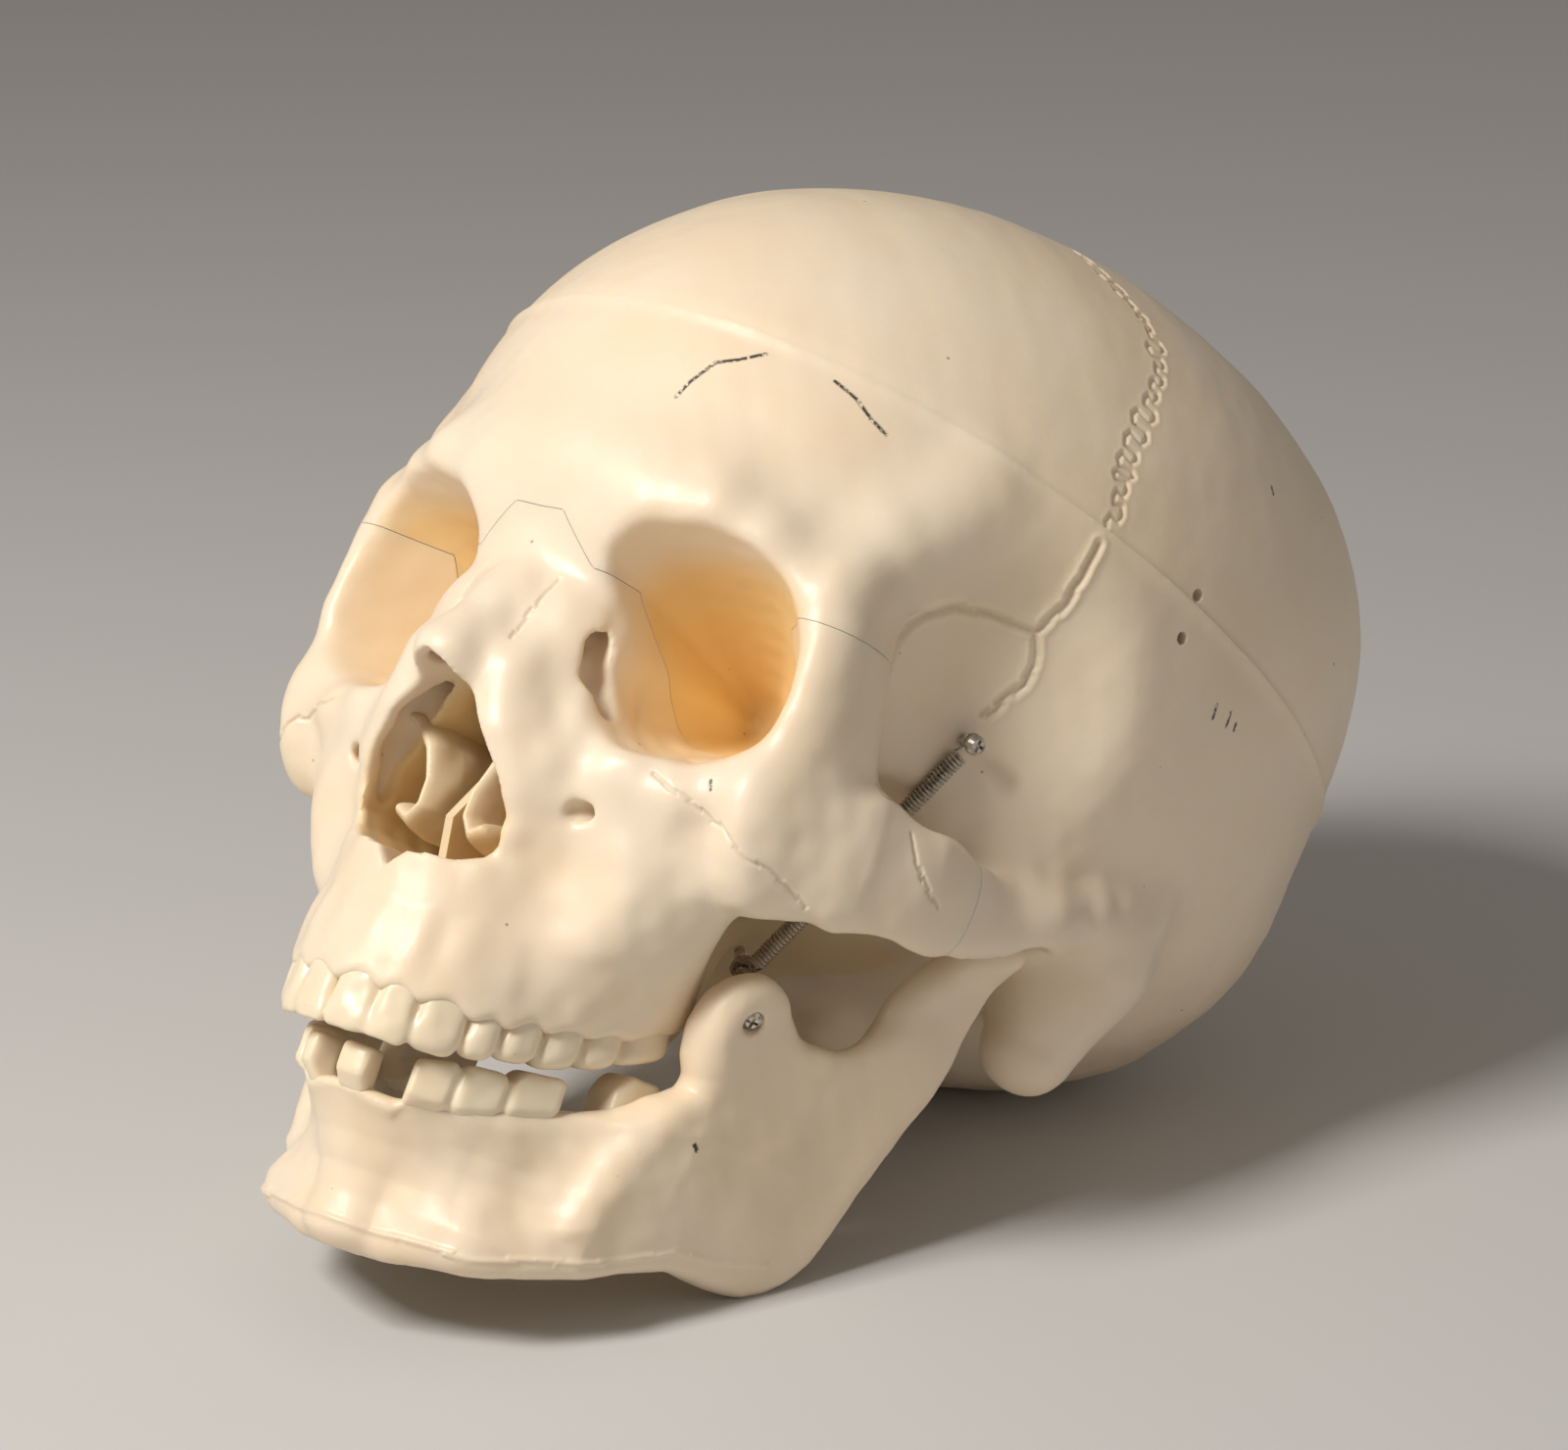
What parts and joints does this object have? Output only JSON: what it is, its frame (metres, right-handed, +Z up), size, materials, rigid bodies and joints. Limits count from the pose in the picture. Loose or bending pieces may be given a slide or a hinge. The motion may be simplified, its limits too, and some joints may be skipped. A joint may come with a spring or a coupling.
{
  "type": "anatomical skull model",
  "caption": "Life-size teaching skull with a sawn lift-off cap, a sprung hinged jaw, open eye sockets and nose, and a hollow braincase, resting tipped back on a table.",
  "frame": {"origin": "middle of the bounding box's bottom face, on the table top", "axes": "+X to the skull's own left, -Y where the face looks, +Z up; the skull is tipped back and rests on the back of the head and both jaw corners"},
  "size_m": [0.1434, 0.2284, 0.1632],
  "materials": {
    "ivory_plastic": "semi-gloss moulded plastic, slightly yellowed",
    "white_plastic": "thin pale sheet, matt",
    "nickel_steel": "dull nickel plating",
    "dark_steel": "aged spring steel"
  },
  "bodies": {
    "skull": {"skull_base": "ivory_plastic", "face_block": "ivory_plastic", "nasal_septum": "white_plastic", "left_concha": "ivory_plastic", "right_concha": "ivory_plastic", "left_temple_screw": "nickel_steel", "right_temple_screw": "nickel_steel", "left_jaw_spring": "dark_steel", "right_jaw_spring": "dark_steel", "cap_pin_front": "nickel_steel", "cap_pin_left": "nickel_steel", "cap_pin_right": "nickel_steel"},
    "jaw": {"mandible": "ivory_plastic", "left_jaw_screw": "nickel_steel", "right_jaw_screw": "nickel_steel", "left_jaw_nut": "dark_steel", "right_jaw_nut": "dark_steel"},
    "cap": {"skull_cap": "ivory_plastic"}
  },
  "joints": [
    {"name": "jaw_hinge", "type": "hinge", "parent": "skull", "child": "jaw", "pos_m": [-0.00001, -0.01283, 0.05146], "axis": [1, 0, 0], "range_deg": [0, 20], "stiffness_Nm_per_rad": 0.15, "springref_deg": -31.51, "deforming": ["left_jaw_spring", "right_jaw_spring"]},
    {"name": "cap_lift", "type": "slide", "parent": "skull", "child": "cap", "axis": [0, 0.6878, 0.7259], "range_m": [0, 0.12]}
  ]
}
